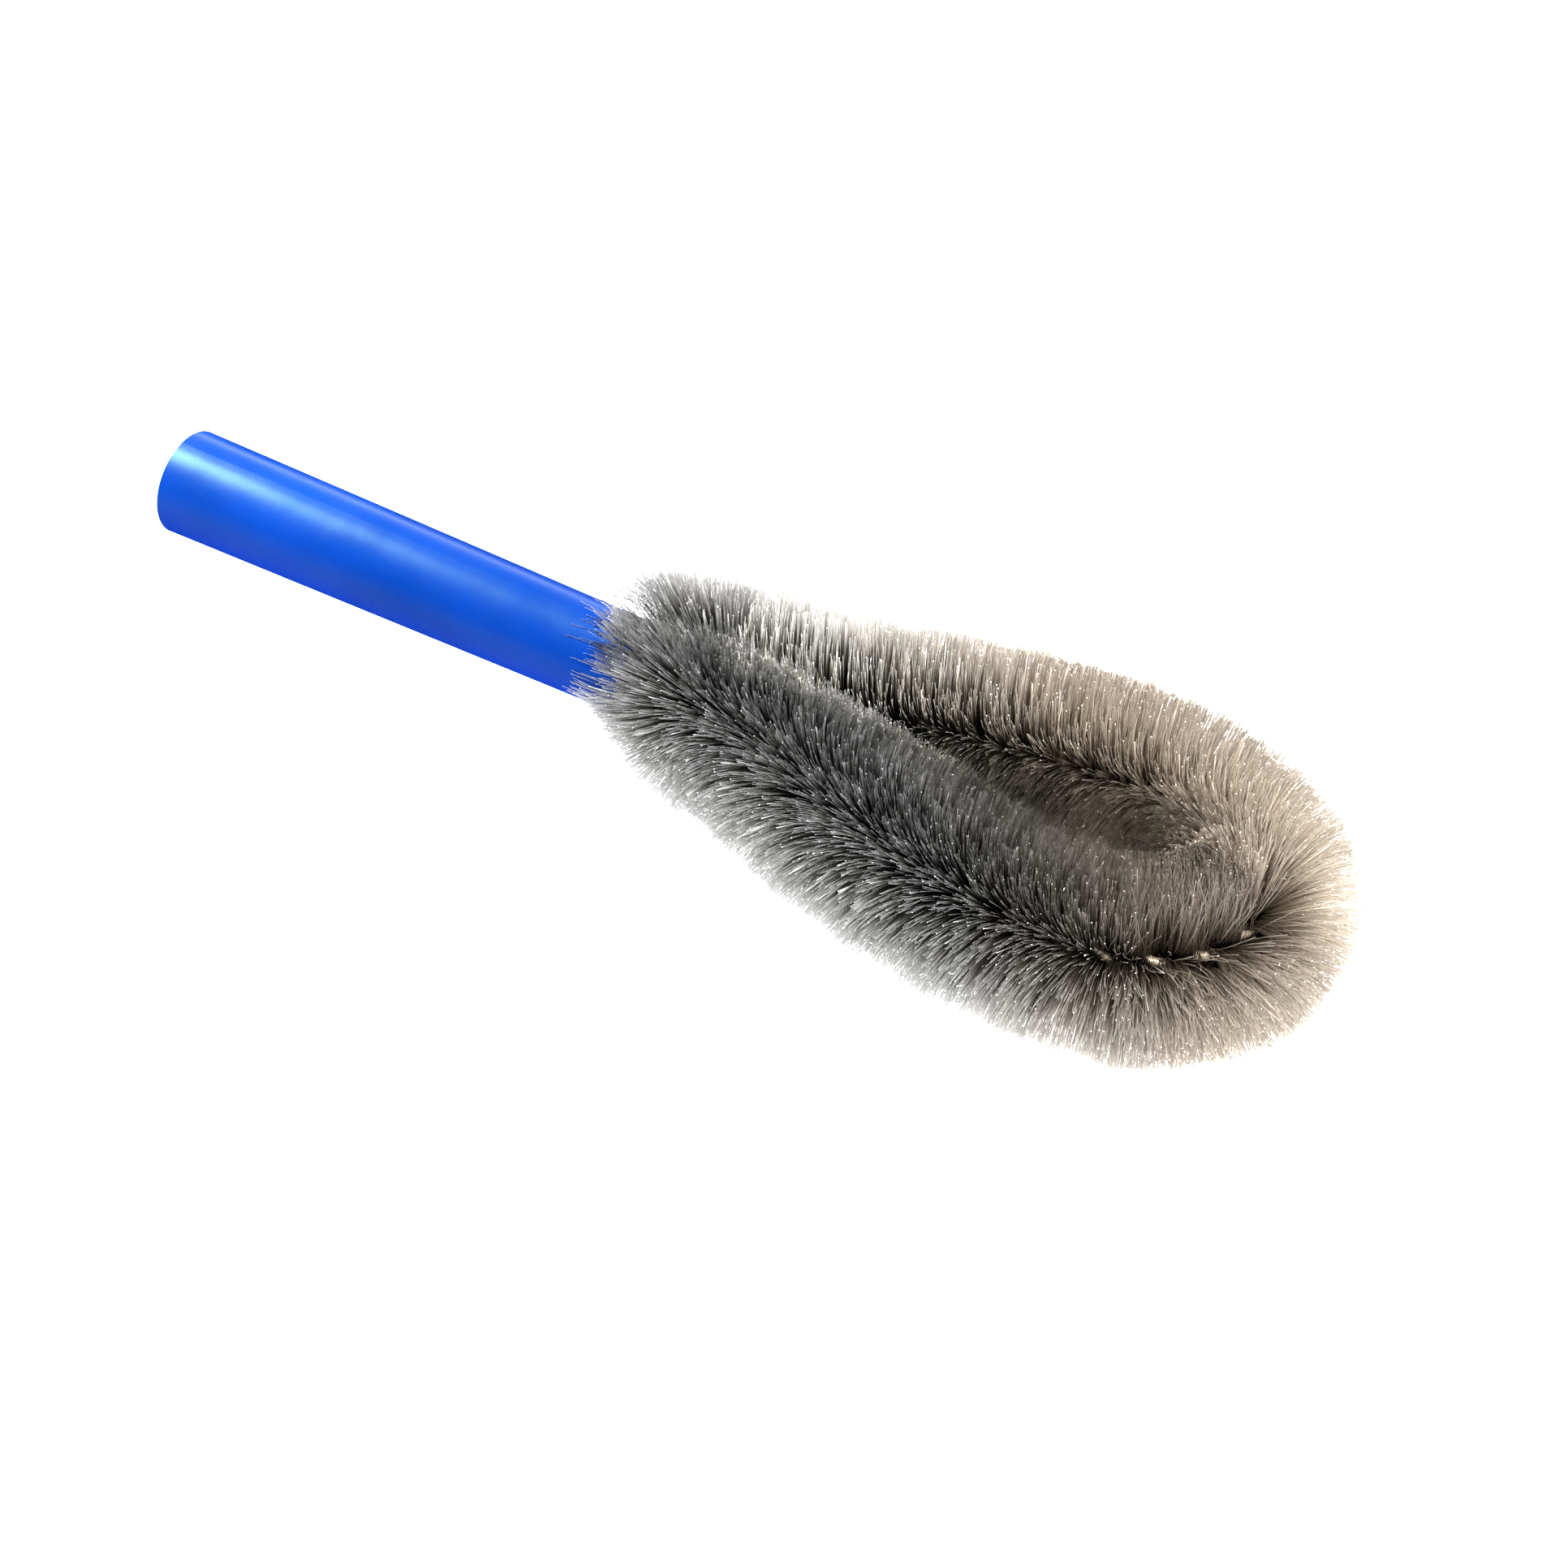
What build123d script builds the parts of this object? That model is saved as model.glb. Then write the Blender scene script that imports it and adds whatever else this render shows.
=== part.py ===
from build123d import *

import math
import os
from dataclasses import dataclass

# A loop-head wheel brush. Two steel wires are twisted together, bent into a teardrop loop,
# and clamp a dense pile of plastic filaments between them. Both ends of the twisted pair are
# locked inside a hollow tapered handle. The brush lies on its bristles, with its core line level.
#
# Frame: +X runs along the brush towards the tip of the loop, +Y is the left leg's side, +Z is up.
# The origin is on the ground, under the middle of the brush. Units are millimetres.

# Whole brush
OVERALL_LENGTH = 418.0
BRISTLE_RADIUS = 33.0

# Core line of the loop, as seen from above
LOOP_LENGTH = 191.3          # neck to tip
LOOP_HALF_WIDTH = 32.3
WIDEST_STATION = 147.5       # distance of the widest place from the neck
FLARE_RADIUS = 120.0         # outward bend that opens the loop
TIP_RADIUS = 23.0
LEG_OFFSET = 3.6             # each leg's distance from the middle plane at the neck

# Twisted pair
STRAND_DIAMETER = 2.8
STRAND_SPACING = 2.9         # between the two strands' centres, filaments pinched between them
TWIST_PITCH = 28.8
RUNS_PER_TURN = 8            # short straights, joined by tangent arcs, that make up one turn
ARC_SHARE = 0.45             # how much of a run the arc at each of its ends takes up
BORE_RADIUS = 3.05           # free room round the twisted pair
SHANK_INSIDE_HANDLE = 50.0

# Bristle pile: each half turn of the wires holds one fan of filaments
FAN_LENGTH = TWIST_PITCH / 2
ROOT_SETBACK = 13.0          # the pile starts this far behind the neck
SPLAY_BACK = 26.0            # the rearmost tips lie this far behind the neck
SPLAY_TIP_RADIUS = 20.0
SPLAY_BULGE = (13.5, 29.0)   # a place on the rounded back of the pile: distance back, radius
SPLAY_RIM = (16.4, 16.6)     # where the pile passes over the handle's rim

# Handle
HANDLE_LENGTH = 177.0
HANDLE_REAR_RADIUS = 18.0
HANDLE_FRONT_RADIUS = 15.6
HANDLE_WALL = 2.2
FRONT_EDGE_ROUNDING = 1.0
FRONT_LIP_THICKNESS = 2.5
FRONT_LIP_RADIUS = 9.0

# Pieces inside the handle
NECK_PLUG_LENGTH = 30.0
END_PLUG_LENGTH = 9.0
END_PLUG_WALL = 2.0
BARB_WIDTH = 1.6
BARB_HEIGHT = 0.6
BARB_SPACING = 8.0
FERRULE_LENGTH = 14.0
FERRULE_WALL = 1.2

# Places that follow from the sizes above
CORE_HEIGHT = BRISTLE_RADIUS
REAR_X = -OVERALL_LENGTH / 2
FRONT_X = REAR_X + HANDLE_LENGTH
NECK_X = OVERALL_LENGTH / 2 - BRISTLE_RADIUS - LOOP_LENGTH
TAPER = (HANDLE_REAR_RADIUS - HANDLE_FRONT_RADIUS) / HANDLE_LENGTH
NECK_PLUG_FRONT_X = FRONT_X - FRONT_LIP_THICKNESS
NECK_PLUG_REAR_X = NECK_PLUG_FRONT_X - NECK_PLUG_LENGTH


@dataclass
class Stretch:
    """A straight or an arc of the left leg's core line. A left turn is positive, in radians."""

    x: float
    y: float
    heading: float
    turn: float
    length: float

    @property
    def radius(self):
        return self.length / self.turn

    @property
    def centre(self):
        return (
            self.x - self.radius * math.sin(self.heading),
            self.y + self.radius * math.cos(self.heading),
        )

    def piece(self, start, length):
        """The part of this stretch that begins at a distance along it and has a length."""
        turned = self.turn * start / self.length
        heading = self.heading + turned
        if self.turn:
            x = self.centre[0] + self.radius * math.sin(heading)
            y = self.centre[1] - self.radius * math.cos(heading)
        else:
            x = self.x + start * math.cos(heading)
            y = self.y + start * math.sin(heading)
        return Stretch(x, y, heading, self.turn * length / self.length, length)

    def end(self):
        return self.piece(self.length, 0.0)


def arc_after(stretch, radius, turn):
    end = stretch.end()
    return Stretch(end.x, end.y, end.heading, turn, radius * abs(turn))


def left_leg():
    """The left leg's core line from inside the handle to the tip: one straight, four arcs."""
    rise = LOOP_HALF_WIDTH - LEG_OFFSET
    flare_turn = 2 * math.atan2(rise, WIDEST_STATION)
    return_radius = WIDEST_STATION / math.sin(flare_turn) - FLARE_RADIUS
    tip_run = LOOP_LENGTH - WIDEST_STATION - TIP_RADIUS
    width_drop = LOOP_HALF_WIDTH - TIP_RADIUS
    shoulder_radius = (tip_run**2 + LOOP_HALF_WIDTH**2 - TIP_RADIUS**2) / (2 * width_drop)
    shoulder_turn = math.atan2(tip_run, shoulder_radius - LOOP_HALF_WIDTH)

    shank_start = FRONT_X - SHANK_INSIDE_HANDLE
    shank = Stretch(shank_start, LEG_OFFSET, 0.0, 0.0, NECK_X - shank_start)
    flare = arc_after(shank, FLARE_RADIUS, flare_turn)
    back = arc_after(flare, return_radius, -flare_turn)
    shoulder = arc_after(back, shoulder_radius, -shoulder_turn)
    tip = arc_after(shoulder, TIP_RADIUS, shoulder_turn - math.pi / 2)
    return [shank, flare, back, shoulder, tip]


LEG = left_leg()
LEG_LENGTH = sum(stretch.length for stretch in LEG)


def leg_station(distance):
    """The left leg's zero-length stretch at a distance from its end inside the handle."""
    for stretch in LEG:
        if distance <= stretch.length:
            return stretch.piece(distance, 0.0)
        distance -= stretch.length
    return LEG[-1].end()


def strand_corner(distance, phase):
    """A corner of one strand's route, at a distance along both legs from the left end."""
    mirrored = distance > LEG_LENGTH
    station = leg_station(2 * LEG_LENGTH - distance if mirrored else distance)
    angle = 2 * math.pi * (distance - LEG_LENGTH) / TWIST_PITCH + phase
    corner_radius = STRAND_SPACING / 2 / math.cos(math.pi / RUNS_PER_TURN)
    outward = corner_radius * math.cos(angle)
    x = station.x - outward * math.sin(station.heading)
    y = station.y + outward * math.cos(station.heading)
    z = CORE_HEIGHT + corner_radius * math.sin(angle)
    return Vector(x, -y if mirrored else y, z)


def rounded_route(corners):
    """A wire of straight runs between corners, with a tangent arc at each corner."""
    edges = []
    start = corners[0]
    for before, corner, after in zip(corners, corners[1:], corners[2:]):
        arrival = corner - before
        departure = after - corner
        reach = ARC_SHARE * min(arrival.length, departure.length)
        arc_start = corner - arrival.normalized() * reach
        arc_end = corner + departure.normalized() * reach
        edges.append(Edge.make_line(start, arc_start))
        edges.append(Edge.make_tangent_arc(arc_start, arrival, arc_end))
        start = arc_end
    edges.append(Edge.make_line(start, corners[-1]))
    return Wire(edges)


def core_wire(phase):
    """One strand: a round wire wound along the left leg, round the tip and back."""
    route_length = 2 * LEG_LENGTH
    runs = math.ceil(route_length / TWIST_PITCH * RUNS_PER_TURN)
    route = rounded_route([strand_corner(route_length * i / runs, phase) for i in range(runs + 1)])
    section = Plane(origin=route @ 0, z_dir=route % 0) * Circle(STRAND_DIAMETER / 2)
    return sweep(section, path=route)


def left_half(shape):
    """What is left of a shape on the left of the middle plane."""
    size = 2 * OVERALL_LENGTH
    return shape & Pos(0, size / 2, 0) * Box(size, size, size)


def bristle_fan(stretch):
    """A slice of the pile round one piece of an arc, as far in as the arc's own centre."""
    across = Vector(-math.sin(stretch.heading), math.cos(stretch.heading), 0)
    ahead = Vector(math.cos(stretch.heading), math.sin(stretch.heading), 0)
    origin = Vector(stretch.x, stretch.y, CORE_HEIGHT)
    ring = Circle(BRISTLE_RADIUS) - Circle(BORE_RADIUS)
    inward = min(BRISTLE_RADIUS, abs(stretch.radius))
    reach = BRISTLE_RADIUS + inward
    side = 1 if stretch.turn < 0 else -1
    window = Pos(side * (BRISTLE_RADIUS - inward) / 2, 0) * Rectangle(reach, 2 * BRISTLE_RADIUS)
    section = Plane(origin=origin, x_dir=across, z_dir=ahead) * (ring & window)
    spin = Vector(0, 0, math.copysign(1, stretch.turn))
    axis = Axis(Vector(*stretch.centre, CORE_HEIGHT), spin)
    return left_half(revolve(section, axis=axis, revolution_arc=abs(math.degrees(stretch.turn))))


def neck_fan():
    """The first fan of a leg: it splays back over the handle's rim."""
    bulge_back, bulge_radius = SPLAY_BULGE
    rim_back, rim_radius = SPLAY_RIM
    neck_root = (0, BORE_RADIUS)
    neck_tip = (0, BRISTLE_RADIUS)
    rear_tip = (-SPLAY_BACK, SPLAY_TIP_RADIUS)
    rear_root = (-ROOT_SETBACK, BORE_RADIUS)
    over_rim = (-rim_back, rim_radius)
    outline = Curve() + [
        Line(neck_root, neck_tip),
        ThreePointArc(neck_tip, (-bulge_back, bulge_radius), rear_tip),
        Polyline(rear_tip, over_rim, rear_root, neck_root),
    ]
    section = Plane.XZ * make_face(outline)
    pile = revolve(section, axis=Axis.X)
    return left_half(Pos(NECK_X, LEG_OFFSET, CORE_HEIGHT) * pile)


def left_fans():
    """All fans of the left leg, from the neck to the tip."""
    fans = [neck_fan()]
    for stretch in LEG[1:]:
        count = round(stretch.length / FAN_LENGTH)
        length = stretch.length / count
        fans += [bristle_fan(stretch.piece(i * length, length)) for i in range(count)]
    return fans


def cavity_radius(x):
    """The handle's inner radius at a place along X."""
    return HANDLE_REAR_RADIUS - HANDLE_WALL - TAPER * (x - REAR_X)


def turned(*outline):
    """A solid turned about the handle's axis, from its (x, radius) outline."""
    section = Plane.XZ * make_face(Polyline(*outline, close=True))
    return Pos(0, 0, CORE_HEIGHT) * revolve(section, axis=Axis.X)


def barb(x):
    """A round rib that stands out of a plug at x and bites into the cavity's wall."""
    rear_x = x - BARB_WIDTH
    rear = (rear_x, cavity_radius(rear_x))
    crest = (x - BARB_WIDTH / 2, cavity_radius(x) + BARB_HEIGHT)
    front = (x, cavity_radius(x))
    return turned((rear_x, 0), rear, crest, front, (x, 0))


def neck_barbs():
    first = NECK_PLUG_FRONT_X - BARB_SPACING
    return [barb(first - i * BARB_SPACING) for i in range(2)]


def end_barb():
    return barb(REAR_X + END_PLUG_LENGTH / 2 + BARB_WIDTH)


def handle_shell():
    """Hollow tapered tube, open at the rear, with an inward lip at the front."""
    outer = turned(
        (REAR_X, 0), (REAR_X, HANDLE_REAR_RADIUS), (FRONT_X, HANDLE_FRONT_RADIUS), (FRONT_X, 0)
    )
    front_edge = outer.edges().filter_by(GeomType.CIRCLE).sort_by(Axis.X)[-1]
    outer = fillet(front_edge, FRONT_EDGE_ROUNDING)
    cavity = turned(
        (REAR_X, 0),
        (REAR_X, cavity_radius(REAR_X)),
        (NECK_PLUG_FRONT_X, cavity_radius(NECK_PLUG_FRONT_X)),
        (NECK_PLUG_FRONT_X, FRONT_LIP_RADIUS),
        (FRONT_X, FRONT_LIP_RADIUS),
        (FRONT_X, 0),
    )
    shell = outer - cavity
    for groove in [*neck_barbs(), end_barb()]:
        shell = shell - groove
    return shell


def neck_plug():
    """Tapered plug behind the front lip, with a bore for each leg of the twisted pair."""
    plug = turned(
        (NECK_PLUG_REAR_X, 0),
        (NECK_PLUG_REAR_X, cavity_radius(NECK_PLUG_REAR_X)),
        (NECK_PLUG_FRONT_X, cavity_radius(NECK_PLUG_FRONT_X)),
        (NECK_PLUG_FRONT_X, 0),
    )
    for rib in neck_barbs():
        plug = plug + rib
    middle_x = (NECK_PLUG_REAR_X + NECK_PLUG_FRONT_X) / 2
    for side in (1, -1):
        place = Pos(middle_x, side * LEG_OFFSET, CORE_HEIGHT) * Rot(0, 90, 0)
        plug = plug - place * Cylinder(BORE_RADIUS, 2 * NECK_PLUG_LENGTH)
    return plug


def end_plug():
    """Cup-shaped plug that closes the handle's rear end, its face flush with the rim."""
    mouth_x = REAR_X + END_PLUG_LENGTH
    floor_x = REAR_X + END_PLUG_WALL
    cup = turned(
        (REAR_X, 0), (REAR_X, cavity_radius(REAR_X)), (mouth_x, cavity_radius(mouth_x)), (mouth_x, 0)
    )
    hollow_radius = cavity_radius(mouth_x) - END_PLUG_WALL
    hollow = turned((floor_x, 0), (floor_x, hollow_radius), (mouth_x, hollow_radius), (mouth_x, 0))
    return cup + end_barb() - hollow


def crimp_ferrule():
    """Oval steel sleeve squeezed round both legs behind the neck plug."""
    inner_height = 2 * BORE_RADIUS
    inner_width = inner_height + 2 * LEG_OFFSET
    outer = SlotOverall(inner_width + 2 * FERRULE_WALL, inner_height + 2 * FERRULE_WALL)
    section = outer - SlotOverall(inner_width, inner_height)
    start = Plane(origin=(NECK_PLUG_REAR_X, 0, CORE_HEIGHT), x_dir=(0, 1, 0), z_dir=(-1, 0, 0))
    return extrude(start * section, amount=FERRULE_LENGTH)


def write(name, shape):
    export_step(shape, f"parts/{name}.step")


def main():
    os.makedirs("parts", exist_ok=True)
    write("handle_shell", handle_shell())
    write("handle_end_plug", end_plug())
    write("neck_plug", neck_plug())
    write("crimp_ferrule", crimp_ferrule())
    write("core_wire_a", core_wire(0.0))
    write("core_wire_b", core_wire(math.pi))
    for number, fan in enumerate(left_fans(), start=1):
        write(f"bristle_fan_left_{number:02d}", fan)
        write(f"bristle_fan_right_{number:02d}", mirror(fan, about=Plane.XZ))


main()
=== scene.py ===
import math
from collections import namedtuple

import bpy
import numpy as np
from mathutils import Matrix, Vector


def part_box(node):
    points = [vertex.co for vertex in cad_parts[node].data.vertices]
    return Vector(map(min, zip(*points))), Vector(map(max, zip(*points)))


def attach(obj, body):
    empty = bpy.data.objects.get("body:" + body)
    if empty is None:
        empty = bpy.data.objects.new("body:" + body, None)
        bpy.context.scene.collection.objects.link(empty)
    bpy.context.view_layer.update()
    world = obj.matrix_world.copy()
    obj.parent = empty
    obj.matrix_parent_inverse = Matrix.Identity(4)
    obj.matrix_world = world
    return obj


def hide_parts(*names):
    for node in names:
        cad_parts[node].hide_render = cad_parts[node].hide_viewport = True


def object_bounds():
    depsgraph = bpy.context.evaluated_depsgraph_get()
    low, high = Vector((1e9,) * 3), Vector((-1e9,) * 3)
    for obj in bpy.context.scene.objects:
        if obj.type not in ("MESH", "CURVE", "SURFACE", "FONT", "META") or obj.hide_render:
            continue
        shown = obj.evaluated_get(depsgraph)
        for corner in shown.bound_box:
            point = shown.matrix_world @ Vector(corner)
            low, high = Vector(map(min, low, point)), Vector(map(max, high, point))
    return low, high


# A loop-head wheel brush: real filaments on a twisted-wire loop, and a glossy tapered handle.
# Everything is in metres, in the CAD model's frame: +X towards the loop's tip, +Y to the left leg,
# +Z up. The photograph's camera looks at the right leg, so the left leg is the far one.
#
# A station is a distance along a leg's core line from the neck. An angle goes round the wire:
# 0 is outward, 90 degrees is up and 180 degrees is into the loop. A name that ends in STATIONS
# says where a change along the leg begins and where it is complete.

SEED = 7
SEEDS_PER_LEG = 100
MM = 0.001
TINY = 1e-12
MIRRORED = {"left": 1.0, "right": -1.0}
FANS_PER_LEG = 15

# The core line's bends and the twisted pair, as in the CAD model
WIDEST_STATION = 147.5 * MM
FLARE_RADIUS = 120.0 * MM
TIP_RADIUS = 23.0 * MM
LEG_OFFSET = 3.6 * MM
TWIST_PITCH = 28.8 * MM
ROOT_SETBACK = 13.0 * MM
ROOT_RADIUS = 1.5 * MM

# A filament's section along its length: how far along each ring lies, and how much of the
# filament's sideways spread it has there
RING_CORNERS = 3
RING_SHARES = np.array([0.0, 0.16, 0.42, 0.72, 0.985, 1.0])
TURN_SHARES = np.array([0.15, 0.75, 1.0, 1.0, 1.0, 1.0])
RINGS = len(RING_SHARES)
RING_REFERENCE = np.array([0.31, 0.52, 0.79])   # a skew direction, which sets how rings are turned
SHAFT_RADIUS = 0.092 * MM
CUT_END_RADIUS = 0.12 * MM

# A few cut ends are beads, coloured brighter than white as a painted glint. A plain cut end has this
# share in place of 1, so that the colours tell the two apart.
BEAD_RADIUS = 0.22 * MM
BEAD_SHARE = 0.06
BEAD_DIGITS = 1000       # beads are picked by the digits of a tone beyond the third
CUT_END_MARK = 0.99

# Strays are thicker and longer, point a little off, and are coloured brighter than white as a painted
# highlight along them
STRAY_SHARE = 0.012
STRAY_RADIUS = 0.16 * MM
STRAY_ANGLE = math.radians(16)
STRAY_EXCESS = 1.3 * MM

# How many filaments there are, and how they fan out from the wires
FILAMENTS_PER_MM = 150
TIP_DENSITY = 1.45
DENSE_STATIONS = (165 * MM, 185 * MM)
SPREAD_ANGLE = math.radians(58)
DRIFT = 0.5 * MM
TIP_DRIFT = 2.0 * MM
BOW = 0.25 * MM

# Filaments gather in tufts and, within them, in bundles: the clump's size and its pull
TUFT_SIZE = 4.2 * MM
TUFT_PULL = 0.2
BUNDLE_SIZE = 1.1 * MM
BUNDLE_PULL = 0.3
BUNDLE_TONE = 0.65
CLUMP_MARGIN = 0.2
CLUMP_SALTS = (1, 5, 9)
BUNDLE_SALT = 20
NOISE_STEPS = (127.1, 311.7, 74.7)
NOISE_SCALE = 43758.5453

# Partings: the angle round the wire, and how far the pile leans away from it outward and inward
NEAR_PARTING = np.radians((46, 18, 0))
FAR_PARTING = np.radians((132, 46, 6))
TIP_PARTING = np.radians((64, 26, 28))
TIP_PARTING_STATIONS = (140 * MM, 200 * MM)
SWEEP_REACH = math.radians(40)
SWEEP_SHARES = (0.5, 1.1)

# Towards the tip the pile is thin over the twisted wires, which bares them
OPEN_STATIONS = {"right": (160 * MM, 178 * MM), "left": (196 * MM, 210 * MM)}
BARE_THINNING = 0.95
BARE_REACH = math.radians(30)

# The trimmed pile: what each leg lacks to the full radius, where the left leg's pile is fuller,
# and where the right leg's is worn
LEFT_TRIM = 1.8 * MM
RIGHT_TRIM = 0.6 * MM
SHOULDER_SWELL = 4.2 * MM
SHOULDER_STATIONS = (32 * MM, 64 * MM)
TIP_SWELL = 1.5 * MM
TIP_SWELL_STATIONS = (165 * MM, 190 * MM)
SWELL_WAY = math.radians(36)
NECK_TRIM = 0.25
NECK_STATIONS = (-ROOT_SETBACK, 9 * MM)
WEAR = 1.4 * MM
WEAR_STATIONS = (90 * MM, 150 * MM)

# Unevenness of the trimmed pile, by slow lumps, by tuft, by bundle and by filament. Each slow
# wave has its share, its turns along one twist and round the wire, and its phase.
LUMP_SIZE = 1.0 * MM
LUMP_WAVES = [(0.5, 1.1, 2, 0.0), (0.3, 0.47, -1, 1.3), (0.2, 2.3, 3, 0.4)]
TUFT_STEP = 1.6 * MM
BUNDLE_STEP = 1.0 * MM
FILAMENT_STEP = 0.3 * MM

# The right leg's edge over the loop's opening is ragged: every other bundle there is shorter
RAGGED_WAY = math.radians(150)
RAGGED_REACH = math.radians(38)
RAGGED_CUT = 7.0 * MM
RAGGED_SHARE = 0.5

# Behind the neck the pile splays back, and a few filaments reach far over the handle: how much
# shorter it is, how much of that the few regain, its lean and their extra lean in degrees
SPLAY_STATIONS = (-ROOT_SETBACK, 16 * MM)
SPLAYS = {"right": (0.2, 0.25, 36, 38), "left": (0.06, 0.0, 26, 40)}
FAR_BACK_POWER = 4       # the higher, the fewer reach far back
HANDLE_CLEARANCE_RADIUS = 16.1 * MM

# How far filaments pass the loop's middle plane, and stay short of a tight bend's centre
MIDDLE_GAP = 1.0 * MM
MINGLING = 3.0 * MM
NECK_MINGLING = 4.0 * MM
MINGLING_STATIONS = (10 * MM, 60 * MM)
STEEPEST_HEADING = 1.2   # in radians
BEND_GAPS = (1 * MM, 5 * MM)
PUSHED_SHARES = (0.8, 1.0)
FLOOR_GAPS = (0.2 * MM, 1.0 * MM)

# Colours along a filament from root to cut end. The dark roots are painted shade deep in the pile;
# beads are at 1, brighter than white as a painted glint, and plain cut ends just before it
COOL_FILAMENT_PAINTED_SHADE_AND_GLINT = [
    (0.0, (0.01, 0.01, 0.01)),
    (0.3, (0.065, 0.061, 0.054)),
    (0.65, (0.43, 0.42, 0.395)),
    (0.85, (0.88, 0.88, 0.87)),
    (CUT_END_MARK, (0.97, 0.97, 0.97)),
    (1.0, (2.2, 2.2, 2.2)),
]
WARM_FILAMENT_PAINTED_SHADE_AND_GLINT = [
    (0.0, (0.12, 0.1, 0.075)),
    (0.3, (0.45, 0.395, 0.33)),
    (0.65, (0.78, 0.73, 0.67)),
    (CUT_END_MARK, (0.76, 0.72, 0.67)),
    (1.0, (1.9, 1.8, 1.7)),
]
# Tint by a filament's tone; the last one, brighter than white, is the strays' painted highlight
FILAMENT_TINTS_AND_STRAY_HIGHLIGHT = [
    (0.0, (0.84, 0.83, 0.81)),
    (0.5, (0.94, 0.94, 0.94)),
    (0.98, (1.03, 1.03, 1.03)),
    (0.99, (1.3, 1.3, 1.3)),
]
# The pile turns from cool to warm between these sums of X and Y, in metres
WARM_FROM = 0.05
WARM_TO = 0.135
TRANSLUCENT_SHARE = 0.8
NOISE_RANGE = (0.2, 0.8)     # what a noise texture mostly stays within

# Studio: the surroundings' brightness by the height of a direction (0 is level, 1 straight up)
# and by how far it points backward, and the light table that is the floor
WALL_STRENGTH = 3.6
WALL_BY_HEIGHT = [(0.0, 1.0), (0.15, 0.9), (0.3, 0.28), (0.5, 0.08), (1.0, 0.035)]
WALL_BY_DEPTH = [(0.0, 0.03), (0.4, 0.1), (0.65, 0.8), (1.0, 1.0)]
BACKWARD = (0.5, 0.87, 0)
HORIZON_BLEND = 0.01
FLOOR_HALF_WIDTH = 6.0
FLOOR_GREY = (0.5, 0.5, 0.5, 1)
FLOOR_GLOW = 3.2
WHITE = (1, 1, 1, 1)
WARM_WHITE = (1, 0.95, 0.88)
TIP_BEAM = math.radians(9)

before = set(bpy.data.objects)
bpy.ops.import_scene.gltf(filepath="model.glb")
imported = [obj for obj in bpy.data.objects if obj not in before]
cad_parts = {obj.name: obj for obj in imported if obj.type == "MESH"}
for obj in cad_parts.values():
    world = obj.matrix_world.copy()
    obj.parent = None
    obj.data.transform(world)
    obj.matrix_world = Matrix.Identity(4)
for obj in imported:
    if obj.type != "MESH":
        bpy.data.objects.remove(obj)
cad_low, cad_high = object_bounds()


def fan_name(side, number):
    return f"bristle_fan_{side}_{number:02d}"


def filaments_name(side, number):
    return f"filaments_{side}_{number:02d}"


BRISTLE_RADIUS = (cad_high[2] - cad_low[2]) / 2
CORE_HEIGHT = (cad_high[2] + cad_low[2]) / 2
LOOP_HALF_WIDTH = cad_high[1] - BRISTLE_RADIUS
NECK_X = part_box(fan_name("left", 1))[1][0]
LOOP_LENGTH = cad_high[0] - BRISTLE_RADIUS - NECK_X
HANDLE_FRONT_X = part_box("handle_shell")[1][0]


# ---------------------------------------------------------------- core line
def core_bends():
    """The left leg's arcs beyond the neck, as (radius, signed turn) pairs; left turns are positive."""
    rise = LOOP_HALF_WIDTH - LEG_OFFSET
    flare_turn = 2 * math.atan2(rise, WIDEST_STATION)
    return_radius = WIDEST_STATION / math.sin(flare_turn) - FLARE_RADIUS
    tip_run = LOOP_LENGTH - WIDEST_STATION - TIP_RADIUS
    width_drop = LOOP_HALF_WIDTH - TIP_RADIUS
    shoulder_radius = (tip_run**2 + LOOP_HALF_WIDTH**2 - TIP_RADIUS**2) / (2 * width_drop)
    shoulder_turn = math.atan2(tip_run, shoulder_radius - LOOP_HALF_WIDTH)
    return [
        (FLARE_RADIUS, flare_turn),
        (return_radius, -flare_turn),
        (shoulder_radius, -shoulder_turn),
        (TIP_RADIUS, shoulder_turn - math.pi / 2),
    ]


BENDS = core_bends()
BEND_LENGTHS = [radius * abs(turn) for radius, turn in BENDS]
LEG_LENGTH = sum(BEND_LENGTHS)


def core_line(station):
    """x, y, heading and radius of the left leg's core line at stations; right bends are negative."""
    x = NECK_X + np.minimum(station, 0)
    y = np.full_like(station, LEG_OFFSET)
    heading = np.zeros_like(station)
    bend_radius = np.full_like(station, math.inf)
    start_x, start_y, start_heading, passed = NECK_X, LEG_OFFSET, 0.0, 0.0
    for (radius, turn), length in zip(BENDS, BEND_LENGTHS):
        way = math.copysign(radius, turn)
        here = station > passed
        angle = start_heading + (station - passed) / way
        x = np.where(here, start_x + way * (np.sin(angle) - math.sin(start_heading)), x)
        y = np.where(here, start_y - way * (np.cos(angle) - math.cos(start_heading)), y)
        heading = np.where(here, angle, heading)
        bend_radius = np.where(here, way, bend_radius)
        end_heading = start_heading + turn
        start_x += way * (math.sin(end_heading) - math.sin(start_heading))
        start_y -= way * (math.cos(end_heading) - math.cos(start_heading))
        start_heading = end_heading
        passed += length
    return x, y, heading, bend_radius


def fan_stations():
    """The stations where each fan of a leg starts and ends."""
    edges = [-ROOT_SETBACK, 0.0]
    for length in BEND_LENGTHS:
        count = round(length / (TWIST_PITCH / 2))
        edges += [edges[-1] + length / count * (i + 1) for i in range(count)]
    return list(zip(edges, edges[1:]))


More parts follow.
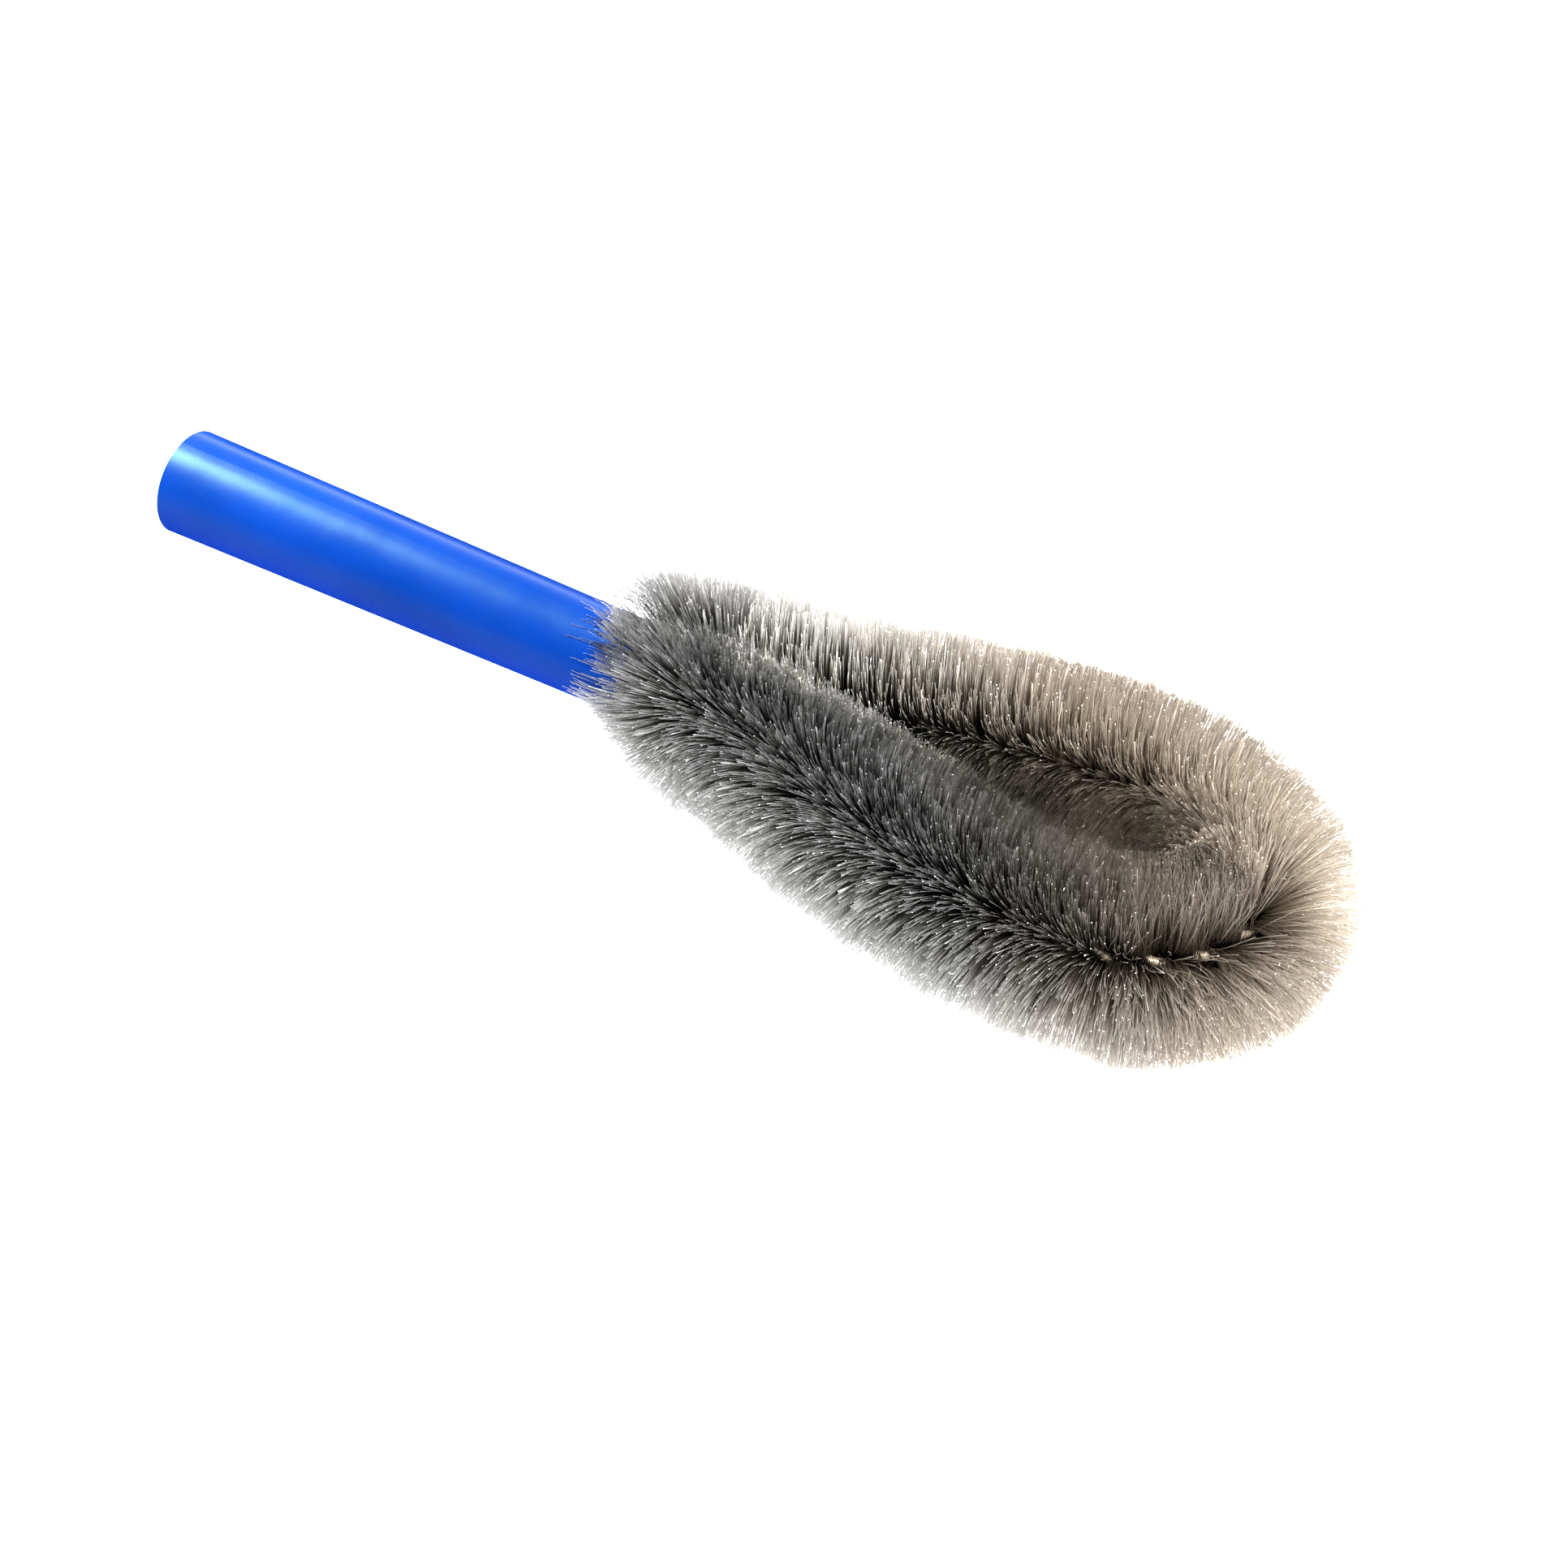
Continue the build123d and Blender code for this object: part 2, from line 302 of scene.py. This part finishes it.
# ---------------------------------------------------------------- unevenness of the pile
def hashed(*whole_numbers):
    """Repeatable noise from 0 to 1 for each row of whole numbers."""
    mixed = sum(n * step for n, step in zip(whole_numbers, NOISE_STEPS))
    return np.modf(np.abs(np.sin(mixed) * NOISE_SCALE))[0]


def smooth_step(value, low, high):
    t = np.clip((value - low) / (high - low), 0, 1)
    return t * t * (3 - 2 * t)


def angle_past(angle, start):
    """How far an angle is beyond a starting one, from minus half a turn to half a turn."""
    return np.mod(angle - start + math.pi, 2 * math.pi) - math.pi


def bell(past, reach):
    """1 at a place, fading to 0 on both sides of it."""
    return np.exp(-((past / reach) ** 2))


def lumps(station, angle):
    """Slow unevenness of the trimmed pile, from -1 to 1."""
    turns = 2 * math.pi * (station / TWIST_PITCH)
    return sum(
        share * np.sin(turns * along + around * angle + phase)
        for share, along, around, phase in LUMP_WAVES
    )


Clump = namedtuple("Clump", "along around random")


def clump_of(station, angle, size, salt):
    """Each filament's clump: the way to its middle along and around, and its random number."""
    row = np.floor(station / size)
    shift = 0.5 * np.mod(row, 2)
    column = np.floor(np.mod(angle, 2 * math.pi) * BRISTLE_RADIUS / size + shift)
    in_row, in_column, random = (hashed(row, column, salt + own) for own in CLUMP_SALTS)
    room = 1 - 2 * CLUMP_MARGIN
    middle_station = (row + CLUMP_MARGIN + room * in_row) * size
    middle_angle = (column - shift + CLUMP_MARGIN + room * in_column) * size / BRISTLE_RADIUS
    return Clump(middle_station - station, angle_past(middle_angle, angle), random)


def swept(side, station, angle):
    """The pile's parting: above the wire, filaments lean away from it, outward and into the loop."""
    near_tip = smooth_step(station, *TIP_PARTING_STATIONS)
    leg_parting = FAR_PARTING if side == "left" else NEAR_PARTING
    parting, outward, inward = (a + (b - a) * near_tip for a, b in zip(leg_parting, TIP_PARTING))
    past = angle_past(angle, parting)
    reach = past / SWEEP_REACH
    return np.where(past < 0, outward, inward) * reach * np.exp((1 - reach**2) / 2)


def pile_length(side, station, angle):
    """How far the pile reaches from the core line."""
    if side == "left":
        upward = np.cos(angle - SWELL_WAY) * 0.5 + 0.5
        swell = SHOULDER_SWELL * (1 - smooth_step(station, *SHOULDER_STATIONS))
        swell = swell + TIP_SWELL * smooth_step(station, *TIP_SWELL_STATIONS)
        return BRISTLE_RADIUS - LEFT_TRIM + swell * upward
    shortening = NECK_TRIM * (1 - smooth_step(station, *NECK_STATIONS))
    worn = WEAR * smooth_step(station, *WEAR_STATIONS)
    return (BRISTLE_RADIUS - RIGHT_TRIM) * (1 - shortening) - worn


# ---------------------------------------------------------------- filaments
class Fan:
    """The filaments that one half turn of the wires holds. Every array has one value for each.

    Tones run from 0 to 1, and those near 1 are the strays'.
    """

    def __init__(self, side, start, end, seed):
        self.side = side
        self.rng = np.random.default_rng(seed)
        self.scatter(start, end)
        self.bare_wires()
        self.gather()
        self.trim()
        self.splay()

    def strays(self):
        return self.tone > 1 - STRAY_SHARE

    def opened(self):
        return smooth_step(self.station, *OPEN_STATIONS[self.side])

    def scatter(self, start, end):
        """Each filament leaves the twisted pair square to the two strands, then spreads sideways."""
        density = 1 + (TIP_DENSITY - 1) * smooth_step(end, *DENSE_STATIONS)
        count = int(FILAMENTS_PER_MM * density * (end - start) / MM)
        self.station = self.rng.uniform(start, end, count)
        self.tone = self.rng.uniform(0, 1, count)
        from_tip = -MIRRORED[self.side] * (LEG_LENGTH - self.station)
        square = 2 * math.pi * from_tip / TWIST_PITCH + math.pi / 2
        self.leaving = square + math.pi * self.rng.integers(0, 2, count)
        spread = self.rng.normal(0, SPREAD_ANGLE, count)
        spread = np.clip(spread, -math.pi / 2, math.pi / 2)
        sweep = swept(self.side, self.station, self.leaving + spread)
        spread = spread + sweep * self.rng.uniform(*SWEEP_SHARES, count)
        self.spread = spread + self.strays() * self.rng.normal(0, STRAY_ANGLE, count)

    def bare_wires(self):
        """Thins the opened stretch over the wires."""
        past = angle_past(self.leaving + self.spread, TIP_PARTING[0])
        bare = BARE_THINNING * bell(past, BARE_REACH)
        keep = self.rng.uniform(0, 1, len(self.station)) > self.opened() * bare
        self.station = self.station[keep]
        self.tone = self.tone[keep]
        self.leaving = self.leaving[keep]
        self.spread = self.spread[keep]
        self.count = len(self.station)
        self.angle = self.leaving + self.spread

    def gather(self):
        """Finds each filament's tuft and bundle, and gives a bundle's filaments a like tone."""
        salt = MIRRORED[self.side]
        self.tuft = clump_of(self.station, self.angle, TUFT_SIZE, salt)
        self.bundle = clump_of(self.station, self.angle, BUNDLE_SIZE, salt + BUNDLE_SALT)
        shared = BUNDLE_TONE * (1 - STRAY_SHARE) * self.bundle.random
        own = (1 - BUNDLE_TONE) * self.tone
        self.tone = np.where(self.strays(), self.tone, own + shared)

    def trim(self):
        """Cuts the pile to its length, uneven as a trimmed pile is."""
        waves = lumps(self.station * MIRRORED[self.side], self.angle)
        length = pile_length(self.side, self.station, self.angle)
        length = length + LUMP_SIZE * waves + TUFT_STEP * (self.tuft.random - 0.5)
        length = length + BUNDLE_STEP * (self.bundle.random - 0.5)
        length = length + self.rng.normal(0, FILAMENT_STEP, self.count)
        length = length + STRAY_EXCESS * self.strays()
        if self.side == "right":
            ragged = bell(angle_past(self.angle, RAGGED_WAY), RAGGED_REACH)
            length = length - RAGGED_CUT * ragged * (self.bundle.random < RAGGED_SHARE)
        self.length = length

    def splay(self):
        """Behind the neck the pile splays back, and a few filaments reach far over the handle."""
        shorter, regained, lean, extra_lean = SPLAYS[self.side]
        behind = 1 - smooth_step(self.station, *SPLAY_STATIONS)
        far_back = self.rng.uniform(0, 1, self.count) ** FAR_BACK_POWER
        self.length = self.length * (1 - (shorter - regained * far_back) * behind)
        self.lean = np.radians(lean + extra_lean * far_back) * behind

    def room(self, y, heading, bend_radius):
        """Room on the inside: to the middle plane, where the two piles mingle, or a bend's centre."""
        passing = MINGLING + NECK_MINGLING * (1 - smooth_step(self.station, *MINGLING_STATIONS))
        to_middle = y / np.cos(np.clip(heading, -STEEPEST_HEADING, STEEPEST_HEADING))
        to_middle = to_middle + self.rng.uniform(-MIDDLE_GAP, passing)
        to_centre = -bend_radius - self.rng.uniform(*BEND_GAPS, self.count)
        return np.minimum(to_middle, np.where(bend_radius < 0, to_centre, math.inf))

    def paths(self):
        """Points of the filaments, root to cut end."""
        x, y, heading, bend_radius = core_line(self.station)
        drift = self.rng.normal(0, 1, self.count) * (DRIFT + TIP_DRIFT * self.opened())
        gathering_along = TUFT_PULL * self.tuft.along + BUNDLE_PULL * self.bundle.along
        gathering_around = TUFT_PULL * self.tuft.around + BUNDLE_PULL * self.bundle.around
        bow = self.rng.normal(0, BOW, (3, self.count))
        room = self.room(y, heading, bend_radius)
        pushed_share = self.rng.uniform(*PUSHED_SHARES, self.count)

        across = np.stack([-np.sin(heading), np.cos(heading)])
        ahead = np.stack([np.cos(heading), np.sin(heading)])
        paths = np.empty((self.count, RINGS, 3))
        for ring, (share, turned) in enumerate(zip(RING_SHARES, TURN_SHARES)):
            reach = ROOT_RADIUS + (self.length - ROOT_RADIUS) * share
            out = reach * np.cos(self.lean * share)
            way = self.leaving + turned * self.spread + gathering_around * share**2
            n = out * np.cos(way)
            z = out * np.sin(way)
            pushed = np.sign(z) * np.sqrt(np.maximum(out**2 - room**2, 0)) * pushed_share
            z = np.where(n < -room, pushed, z)
            n = np.maximum(n, -room)
            arch = 4 * share * (1 - share)
            n = n + bow[0] * arch
            z = z + bow[1] * arch
            forward = (drift + gathering_along) * share**2 + bow[2] * arch
            forward = forward - reach * np.sin(self.lean * share)
            paths[:, ring, 0] = x + n * across[0] + forward * ahead[0]
            paths[:, ring, 1] = y + n * across[1] + forward * ahead[1]
            paths[:, ring, 2] = CORE_HEIGHT + z
        lowest = cad_low[2] + self.rng.uniform(*FLOOR_GAPS, self.count)
        paths[:, :, 2] = np.maximum(paths[:, :, 2], lowest[:, None])
        clear_handle(paths)
        paths[:, :, 1] *= MIRRORED[self.side]
        return paths


def clear_handle(paths):
    """Keeps the filaments that reach back past the handle's front on the outside of it."""
    y, z = paths[:, :, 1], paths[:, :, 2] - CORE_HEIGHT
    axis_distance = np.maximum(np.hypot(y, z), TINY)
    lift = np.maximum(HANDLE_CLEARANCE_RADIUS / axis_distance, 1)
    lift = np.where(paths[:, :, 0] < HANDLE_FRONT_X, lift, 1)
    paths[:, :, 1] = y * lift
    paths[:, :, 2] = CORE_HEIGHT + z * lift


# ---------------------------------------------------------------- meshes
def unit(vectors):
    return vectors / np.maximum(np.linalg.norm(vectors, axis=-1, keepdims=True), TINY)


def ring_points(paths, tones, thickness):
    """The corners of every filament's rings, each filament turned about itself by its tone."""
    tangent = unit(np.gradient(paths, axis=1))
    side_way = unit(np.cross(tangent, RING_REFERENCE))
    up_way = np.cross(tangent, side_way)
    corners = np.arange(RING_CORNERS) * 2 * math.pi / RING_CORNERS
    turn = (tones[:, None] * 2 * math.pi + corners)[:, None, :, None]
    offset = np.cos(turn) * side_way[:, :, None, :] + np.sin(turn) * up_way[:, :, None, :]
    points = paths[:, :, None, :] + offset * thickness[:, :, None, None]
    return points.reshape(-1, 3)


def filament_faces():
    """One filament's side quads and two end caps: their corners in a row, and each one's size."""
    ring_start = np.arange(RINGS - 1)[:, None] * RING_CORNERS
    corner = np.arange(RING_CORNERS)[None, :]
    following = (corner + 1) % RING_CORNERS
    next_ring = ring_start + RING_CORNERS
    quads = np.stack(
        [ring_start + corner, ring_start + following, next_ring + following, next_ring + corner],
        axis=-1,
    ).reshape(-1, 4)
    root_cap = np.arange(RING_CORNERS)[::-1]
    end_cap = np.arange(RING_CORNERS) + (RINGS - 1) * RING_CORNERS
    sizes = np.array([4] * len(quads) + [RING_CORNERS] * 2)
    return np.concatenate([quads.ravel(), root_cap, end_cap]), sizes


def add_faces(mesh, count):
    """Repeats one filament's faces for every filament, with smooth sides and flat caps."""
    corners, sizes = filament_faces()
    first = np.arange(count)[:, None] * RINGS * RING_CORNERS
    indices = (first + corners[None, :]).ravel()
    totals = np.tile(sizes, count)
    starts = np.concatenate([[0], np.cumsum(totals)[:-1]])
    mesh.loops.add(len(indices))
    mesh.loops.foreach_set("vertex_index", indices)
    mesh.polygons.add(len(totals))
    mesh.polygons.foreach_set("loop_start", starts)
    mesh.polygons.foreach_set("loop_total", totals)
    mesh.polygons.foreach_set("use_smooth", totals == 4)


def add_attribute(mesh, name, values):
    attribute = mesh.attributes.new(name, "FLOAT", "POINT")
    attribute.data.foreach_set("value", values)


def filament_mesh(name, fan):
    """One mesh of a fan's closed, three-cornered filaments."""
    paths = fan.paths()
    # Bead ends take share 1, where the colour ramps are brighter than white: a painted glint
    painted_glint_beads = np.mod(fan.tone * BEAD_DIGITS, 1) < BEAD_SHARE
    thickness = np.full((fan.count, RINGS), SHAFT_RADIUS)
    thickness[fan.strays()] = STRAY_RADIUS
    thickness[:, -1] = np.where(painted_glint_beads, BEAD_RADIUS, CUT_END_RADIUS)
    shares = np.tile(RING_SHARES, (fan.count, 1))
    shares[~painted_glint_beads, -1] = CUT_END_MARK
    points = ring_points(paths, fan.tone, thickness)

    mesh = bpy.data.meshes.new(name)
    mesh.vertices.add(len(points))
    mesh.vertices.foreach_set("co", points.ravel())
    add_faces(mesh, fan.count)
    add_attribute(mesh, "along", np.repeat(shares.ravel(), RING_CORNERS))
    add_attribute(mesh, "tone", np.repeat(fan.tone, RINGS * RING_CORNERS))
    mesh.update(calc_edges=True)
    return mesh


# ---------------------------------------------------------------- material nodes
def new_material(name):
    material = bpy.data.materials.new(name)
    material.use_nodes = True
    tree = material.node_tree
    tree.nodes.clear()
    output = tree.nodes.new("ShaderNodeOutputMaterial")
    return material, tree, output


def ramp(tree, value, stops):
    node = tree.nodes.new("ShaderNodeValToRGB")
    elements = node.color_ramp.elements
    while len(elements) < len(stops):
        elements.new(0.5)
    for element, (place, colour) in zip(elements, stops):
        element.position = place
        element.color = (*colour, 1)
    tree.links.new(value, node.inputs["Fac"])
    return node.outputs["Color"]


def mix(tree, kind, factor, first, second):
    node = tree.nodes.new("ShaderNodeMix")
    node.data_type = "RGBA"
    node.blend_type = kind
    for socket, value in ((0, factor), (6, first), (7, second)):
        if isinstance(value, bpy.types.NodeSocket):
            tree.links.new(value, node.inputs[socket])
        else:
            node.inputs[socket].default_value = value
    return node.outputs[2]


def add(tree, first, second):
    node = tree.nodes.new("ShaderNodeMath")
    node.operation = "ADD"
    tree.links.new(first, node.inputs[0])
    tree.links.new(second, node.inputs[1])
    return node.outputs["Value"]


def noise(tree, vector, scale, detail):
    node = tree.nodes.new("ShaderNodeTexNoise")
    node.inputs["Scale"].default_value = scale
    node.inputs["Detail"].default_value = detail
    tree.links.new(vector, node.inputs["Vector"])
    return node.outputs["Fac"]


def attribute(tree, name):
    node = tree.nodes.new("ShaderNodeAttribute")
    node.attribute_name = name
    return node.outputs["Fac"]


def object_coordinates(tree):
    return tree.nodes.new("ShaderNodeTexCoord").outputs["Object"]


def split_axes(tree, vector):
    node = tree.nodes.new("ShaderNodeSeparateXYZ")
    tree.links.new(vector, node.inputs[0])
    return node.outputs


def map_range(tree, value, low, high, to_low=0.0, to_high=1.0):
    node = tree.nodes.new("ShaderNodeMapRange")
    node.inputs["From Min"].default_value = low
    node.inputs["From Max"].default_value = high
    node.inputs["To Min"].default_value = to_low
    node.inputs["To Max"].default_value = to_high
    tree.links.new(value, node.inputs["Value"])
    return node.outputs["Result"]


def blend_shaders(tree, factor, first, second):
    node = tree.nodes.new("ShaderNodeMixShader")
    if isinstance(factor, bpy.types.NodeSocket):
        tree.links.new(factor, node.inputs["Fac"])
    else:
        node.inputs["Fac"].default_value = factor
    tree.links.new(first.outputs[0], node.inputs[1])
    tree.links.new(second.outputs[0], node.inputs[2])
    return node.outputs[0]


# ---------------------------------------------------------------- materials
def bristle_material():
    """Translucent filaments, cool grey by the handle and warm by the tip, with painted shade darkening
    the roots and painted glints on bead ends and strays.
    """
    material, tree, output = new_material("bristle_filaments_painted_shade_and_glint")
    axes = split_axes(tree, object_coordinates(tree))
    warm = map_range(tree, add(tree, axes["X"], axes["Y"]), WARM_FROM, WARM_TO)
    along = attribute(tree, "along")
    # The along ramps paint shade: roots darkened as if deep in the pile, and bead ends brighter than
    # white as a painted glint
    cool_painted_shade_and_glint = ramp(tree, along, COOL_FILAMENT_PAINTED_SHADE_AND_GLINT)
    warm_painted_shade_and_glint = ramp(tree, along, WARM_FILAMENT_PAINTED_SHADE_AND_GLINT)
    colour = mix(tree, "MIX", warm, cool_painted_shade_and_glint, warm_painted_shade_and_glint)
    # The strays' tint is brighter than white: a painted highlight along them
    tint = ramp(tree, attribute(tree, "tone"), FILAMENT_TINTS_AND_STRAY_HIGHLIGHT)
    colour = mix(tree, "MULTIPLY", 1.0, colour, tint)
    body = tree.nodes.new("ShaderNodeBsdfPrincipled")
    body.inputs["Roughness"].default_value = 0.32
    tree.links.new(colour, body.inputs["Base Color"])
    glow = tree.nodes.new("ShaderNodeBsdfTranslucent")
    tree.links.new(colour, glow.inputs["Color"])
    both = blend_shaders(tree, TRANSLUCENT_SHARE, body, glow)
    tree.links.new(both, output.inputs["Surface"])
    return material


def plastic_material(name, colour, roughness, tint=WHITE, gloss=0.5):
    """Moulded plastic: faint clouds in its colour and polish, and a fine grain."""
    material, tree, output = new_material(name)
    coords = object_coordinates(tree)
    body = tree.nodes.new("ShaderNodeBsdfPrincipled")
    darker = tuple(c * 0.88 for c in colour)
    lighter = tuple(min(c * 1.1, 1) for c in colour)
    clouds = noise(tree, coords, scale=35.0, detail=3.0)
    shade = ramp(tree, clouds, [(0.3, darker), (0.7, lighter)])
    tree.links.new(shade, body.inputs["Base Color"])
    patches = noise(tree, coords, scale=60.0, detail=4.0)
    rough = map_range(tree, patches, *NOISE_RANGE, roughness * 0.85, roughness * 1.2)
    tree.links.new(rough, body.inputs["Roughness"])
    body.inputs["Specular Tint"].default_value = tint
    body.inputs["Specular IOR Level"].default_value = gloss
    bump = tree.nodes.new("ShaderNodeBump")
    bump.inputs["Strength"].default_value = 0.05
    bump.inputs["Distance"].default_value = 0.1 * MM
    tree.links.new(noise(tree, coords, scale=900.0, detail=2.0), bump.inputs["Height"])
    tree.links.new(bump.outputs["Normal"], body.inputs["Normal"])
    tree.links.new(body.outputs[0], output.inputs["Surface"])
    return material


def metal_material(name, colour, roughness):
    """Drawn steel with darker stains."""
    material, tree, output = new_material(name)
    coords = object_coordinates(tree)
    body = tree.nodes.new("ShaderNodeBsdfPrincipled")
    body.inputs["Metallic"].default_value = 1.0
    darker = tuple(c * 0.6 for c in colour)
    stains = noise(tree, coords, scale=500.0, detail=4.0)
    shade = ramp(tree, stains, [(0.3, darker), (0.65, colour)])
    tree.links.new(shade, body.inputs["Base Color"])
    scratches = noise(tree, coords, scale=900.0, detail=2.0)
    rough = map_range(tree, scratches, *NOISE_RANGE, roughness * 0.7, roughness * 1.3)
    tree.links.new(rough, body.inputs["Roughness"])
    tree.links.new(body.outputs[0], output.inputs["Surface"])
    return material


def paint_nodes(material, *names):
    for name in names:
        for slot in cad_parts[name].material_slots:
            slot.material = material


# ---------------------------------------------------------------- building
def build_bristles():
    material = bristle_material()
    for leg, side in enumerate(MIRRORED):
        for number, (start, end) in enumerate(fan_stations(), start=1):
            name = filaments_name(side, number)
            fan = Fan(side, start, end, SEED + SEEDS_PER_LEG * leg + number)
            piece = bpy.data.objects.new(name, filament_mesh(name, fan))
            bpy.context.scene.collection.objects.link(piece)
            piece.data.materials.append(material)
            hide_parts(fan_name(side, number))
            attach(piece, "root")


def finish_cad_nodes():
    handle = plastic_material(
        "handle_blue_plastic",
        colour=(0.001, 0.033, 0.36),
        roughness=0.26,
        tint=(0.36, 1, 0.7, 1),
        gloss=0.4,
    )
    plug = plastic_material("plug_blue_plastic", colour=(0.004, 0.055, 0.5), roughness=0.4)
    natural = plastic_material("plug_natural_plastic", colour=(0.7, 0.69, 0.64), roughness=0.5)
    steel = metal_material("ferrule_steel", colour=(0.55, 0.55, 0.54), roughness=0.35)
    wire = metal_material("core_wire_steel", colour=(0.88, 0.77, 0.61), roughness=0.6)
    paint_nodes(handle, "handle_shell")
    paint_nodes(plug, "handle_end_plug")
    paint_nodes(natural, "neck_plug")
    paint_nodes(steel, "crimp_ferrule")
    paint_nodes(wire, "core_wire_a", "core_wire_b")


# ---------------------------------------------------------------- studio
def add_lamp(name, place, target, size, power, colour):
    data = bpy.data.lights.new(name, "AREA")
    data.shape = "DISK"
    data.size = size
    data.energy = power
    data.color = colour
    lamp = bpy.data.objects.new(name, data)
    lamp.location = place
    lamp.rotation_euler = (Vector(target) - Vector(place)).to_track_quat("-Z", "Y").to_euler()
    bpy.context.scene.collection.objects.link(lamp)
    return lamp


def light_only(lamp, names):
    """Keeps a lamp to the objects named."""
    lit = bpy.data.collections.new(f"lit_by_{lamp.name}")
    for name in names:
        lit.objects.link(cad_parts.get(name) or bpy.data.objects[name])
    lamp.light_linking.receiver_collection = lit


def filaments_from(side, first):
    """Names of a leg's filament meshes, from a fan's number up to the tip."""
    return [filaments_name(side, number) for number in range(first, FANS_PER_LEG + 1)]


def build_lamps():
    """A softbox for the handle's highlight, two lamps for the far leg and a narrow beam on the tip."""
    softbox = add_lamp(
        "softbox",
        place=(-1.2, 0.12, 0.9),
        target=(-0.15, 0, 0.03),
        size=0.8,
        power=155,
        colour=(1, 0.86, 0.55),
    )
    light_only(softbox, ["handle_shell"])

    upper = add_lamp(
        "upper",
        place=(0.3, 0.9, 0.75),
        target=(0.1, 0.03, 0.03),
        size=0.6,
        power=40,
        colour=WARM_WHITE,
    )
    light_only(upper, filaments_from("left", 3))

    back = add_lamp(
        "back",
        place=(0.35, 0.95, 0.2),
        target=(0.08, 0, 0.03),
        size=0.45,
        power=10,
        colour=WARM_WHITE,
    )
    light_only(back, filaments_from("left", 1) + filaments_from("right", 14))

    tip = add_lamp(
        "tip",
        place=(0.45, -0.25, 0.75),
        target=(0.188, -0.03, 0.03),
        size=0.08,
        power=0.047,
        colour=(1, 0.94, 0.86),
    )
    tip.data.spread = TIP_BEAM


def grey(stops):
    return [(place, (level,) * 3) for place, level in stops]


def build_world():
    """Walls that are bright behind the brush and at its tip, a dim ceiling, and a white backdrop."""
    world = bpy.data.worlds.new("studio")
    world.use_nodes = True
    tree = world.node_tree
    direction = tree.nodes.new("ShaderNodeTexCoord").outputs["Generated"]
    height = split_axes(tree, direction)["Z"]
    by_height = ramp(tree, height, grey(WALL_BY_HEIGHT))
    backward = tree.nodes.new("ShaderNodeVectorMath")
    backward.operation = "DOT_PRODUCT"
    backward.inputs[1].default_value = BACKWARD
    tree.links.new(direction, backward.inputs[0])
    depth = map_range(tree, backward.outputs["Value"], -1.0, 1.0)
    light = mix(tree, "MULTIPLY", 1.0, by_height, ramp(tree, depth, grey(WALL_BY_DEPTH)))
    above_floor = map_range(tree, height, -HORIZON_BLEND, 0.0)
    light = mix(tree, "MULTIPLY", 1.0, light, above_floor)
    walls = tree.nodes["Background"]
    walls.inputs["Strength"].default_value = WALL_STRENGTH
    tree.links.new(light, walls.inputs["Color"])
    backdrop = tree.nodes.new("ShaderNodeBackground")
    backdrop.inputs["Color"].default_value = WHITE
    to_camera = tree.nodes.new("ShaderNodeLightPath").outputs["Is Camera Ray"]
    both = blend_shaders(tree, to_camera, walls, backdrop)
    tree.links.new(both, tree.nodes["World Output"].inputs["Surface"])
    bpy.context.scene.world = world


def build_floor():
    """A white light table under the brush, hidden from glossy rays."""
    half, z = FLOOR_HALF_WIDTH, cad_low[2]
    corners = [(-half, -half, z), (half, -half, z), (half, half, z), (-half, half, z)]
    mesh = bpy.data.meshes.new("floor")
    mesh.from_pydata(corners, [], [(0, 1, 2, 3)])
    floor = bpy.data.objects.new("floor", mesh)
    bpy.context.scene.collection.objects.link(floor)
    material, tree, output = new_material("floor_paint")
    body = tree.nodes.new("ShaderNodeBsdfPrincipled")
    body.inputs["Base Color"].default_value = FLOOR_GREY
    body.inputs["Roughness"].default_value = 0.9
    body.inputs["Specular IOR Level"].default_value = 0.0
    body.inputs["Emission Color"].default_value = WHITE
    body.inputs["Emission Strength"].default_value = FLOOR_GLOW
    tree.links.new(body.outputs[0], output.inputs["Surface"])
    mesh.materials.append(material)
    floor.visible_glossy = False


def build_camera():
    """The photograph's viewing angle, aimed beside the neck so that the brush sits as it does there."""
    elevation = math.radians(50.05)
    azimuth = math.radians(29.07)
    distance = 0.914
    sideways = 0.0303
    upward = -0.0295
    back = Vector(
        (
            math.sin(azimuth) * math.cos(elevation),
            -math.cos(azimuth) * math.cos(elevation),
            math.sin(elevation),
        )
    )
    right = Vector((math.cos(azimuth), math.sin(azimuth), 0))
    up = back.cross(right)
    neck = Vector((NECK_X, 0, CORE_HEIGHT))
    data = bpy.data.cameras.new("camera")
    data.sensor_width = 36
    data.lens = 66.53
    data.clip_end = 20
    camera = bpy.data.objects.new("camera", data)
    camera.location = neck + distance * back + sideways * right + upward * up
    camera.rotation_euler = back.to_track_quat("Z", "Y").to_euler()
    bpy.context.scene.collection.objects.link(camera)
    bpy.context.scene.camera = camera
    bpy.context.scene.view_settings.view_transform = "Standard"


build_bristles()
finish_cad_nodes()
build_world()
build_floor()
build_lamps()
build_camera()
